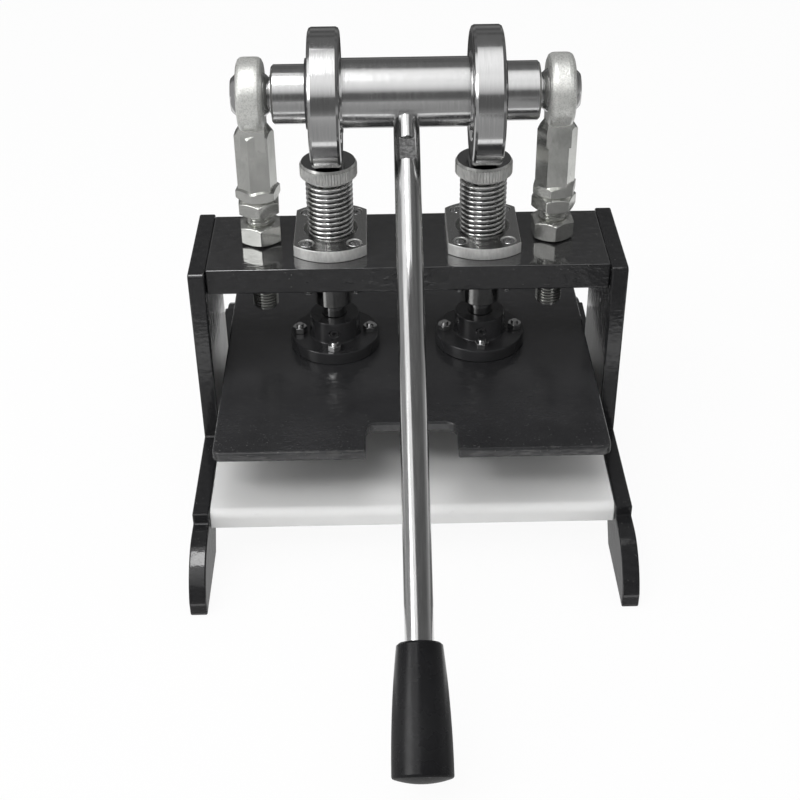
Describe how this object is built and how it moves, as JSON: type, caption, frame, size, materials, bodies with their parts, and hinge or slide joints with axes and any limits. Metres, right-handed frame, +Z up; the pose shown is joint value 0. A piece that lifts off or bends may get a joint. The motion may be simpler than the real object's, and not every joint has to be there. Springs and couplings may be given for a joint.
{
  "type": "manual die cutting machine",
  "caption": "Bench die cutting press: a long lever turns an eccentric shaft whose bearing rollers push a sprung press plate on guide posts down onto a white cutting board in a steel frame.",
  "frame": {"origin": "on the floor under the middle of the whole machine, lever included", "axes": "+X to the operator's right, +Y away from the operator, +Z up; the lever points to -Y"},
  "size_m": [0.262, 0.4774, 0.2902],
  "materials": {
    "frame_paint": "glossy black paint",
    "press_paint": "glossy black paint",
    "board_white": "matt white plastic",
    "bush_steel": "ground steel",
    "screw_steel": "bright screws",
    "zinc_plate": "zinc plated steel with a faint yellow tint",
    "shaft_chrome": "polished steel",
    "bearing_chrome": "polished bearing steel",
    "seal_black": "black rubber seal",
    "oxide_black": "blackened spring steel",
    "lever_chrome": "chromed rod",
    "grip_black": "glossy black plastic",
    "hub_black": "satin black",
    "post_chrome": "ground guide post",
    "cap_steel": "turned and knurled steel",
    "spring_steel": "bright spring wire"
  },
  "bodies": {
    "frame": {"left_side_plate": "frame_paint", "right_side_plate": "frame_paint", "top_beam": "frame_paint", "bed_plate": "frame_paint", "cutting_board": "board_white", "left_guide_bush": "bush_steel", "right_guide_bush": "bush_steel", "left_bush_screws": "screw_steel", "right_bush_screws": "screw_steel", "left_rod_end": "zinc_plate", "right_rod_end": "zinc_plate", "left_stud": "zinc_plate", "right_stud": "zinc_plate", "left_jam_nut": "zinc_plate", "right_jam_nut": "zinc_plate", "left_stud_nut": "zinc_plate", "right_stud_nut": "zinc_plate", "left_spring": "spring_steel", "right_spring": "spring_steel"},
    "crank": {"eccentric_shaft": "shaft_chrome", "left_rod_ball": "bearing_chrome", "right_rod_ball": "bearing_chrome", "left_inner_ring": "bearing_chrome", "right_inner_ring": "bearing_chrome", "left_snap_ring": "oxide_black", "right_snap_ring": "oxide_black", "lever_rod": "lever_chrome", "lever_grip": "grip_black"},
    "left_roller": {"left_outer_ring": "bearing_chrome", "left_seals": "seal_black"},
    "right_roller": {"right_outer_ring": "bearing_chrome", "right_seals": "seal_black"},
    "left_ball_set": {"left_bearing_balls": "bearing_chrome"},
    "right_ball_set": {"right_bearing_balls": "bearing_chrome"},
    "press": {"press_plate": "press_paint", "left_hub": "hub_black", "left_hub_screws": "screw_steel", "left_hub_nuts": "screw_steel", "left_grub_screw": "oxide_black", "left_guide_post": "post_chrome", "left_spring_cap": "cap_steel", "right_hub": "hub_black", "right_hub_screws": "screw_steel", "right_hub_nuts": "screw_steel", "right_grub_screw": "oxide_black", "right_guide_post": "post_chrome", "right_spring_cap": "cap_steel"}
  },
  "joints": [
    {"name": "lever_turn", "type": "hinge", "parent": "frame", "child": "crank", "pos_m": [0, 0.08069, 0.252], "axis": [-1, 0, 0], "range_deg": [-18, 105]},
    {"name": "press_slide", "type": "slide", "parent": "frame", "child": "press", "axis": [0, 0, 1], "range_m": [-0.0008, 0.0045], "deforming": ["left_spring", "right_spring"]},
    {"name": "left_roller_spin", "type": "hinge", "parent": "crank", "child": "left_roller", "pos_m": [-0.0465, 0.07826, 0.25024], "axis": [1, 0, 0], "continuous": true},
    {"name": "right_roller_spin", "type": "hinge", "parent": "crank", "child": "right_roller", "pos_m": [0.0465, 0.07826, 0.25024], "axis": [1, 0, 0], "continuous": true},
    {"name": "left_ball_run", "type": "hinge", "parent": "crank", "child": "left_ball_set", "pos_m": [-0.0465, 0.07826, 0.25024], "axis": [1, 0, 0], "continuous": true},
    {"name": "right_ball_run", "type": "hinge", "parent": "crank", "child": "right_ball_set", "pos_m": [0.0465, 0.07826, 0.25024], "axis": [1, 0, 0], "continuous": true}
  ],
  "couplings": [
    {"joint": "press_slide", "follows": "lever_turn", "m_per_rad": 0.002427},
    {"joint": "left_ball_run", "follows": "left_roller_spin", "ratio": 0.6},
    {"joint": "right_ball_run", "follows": "right_roller_spin", "ratio": 0.6}
  ]
}
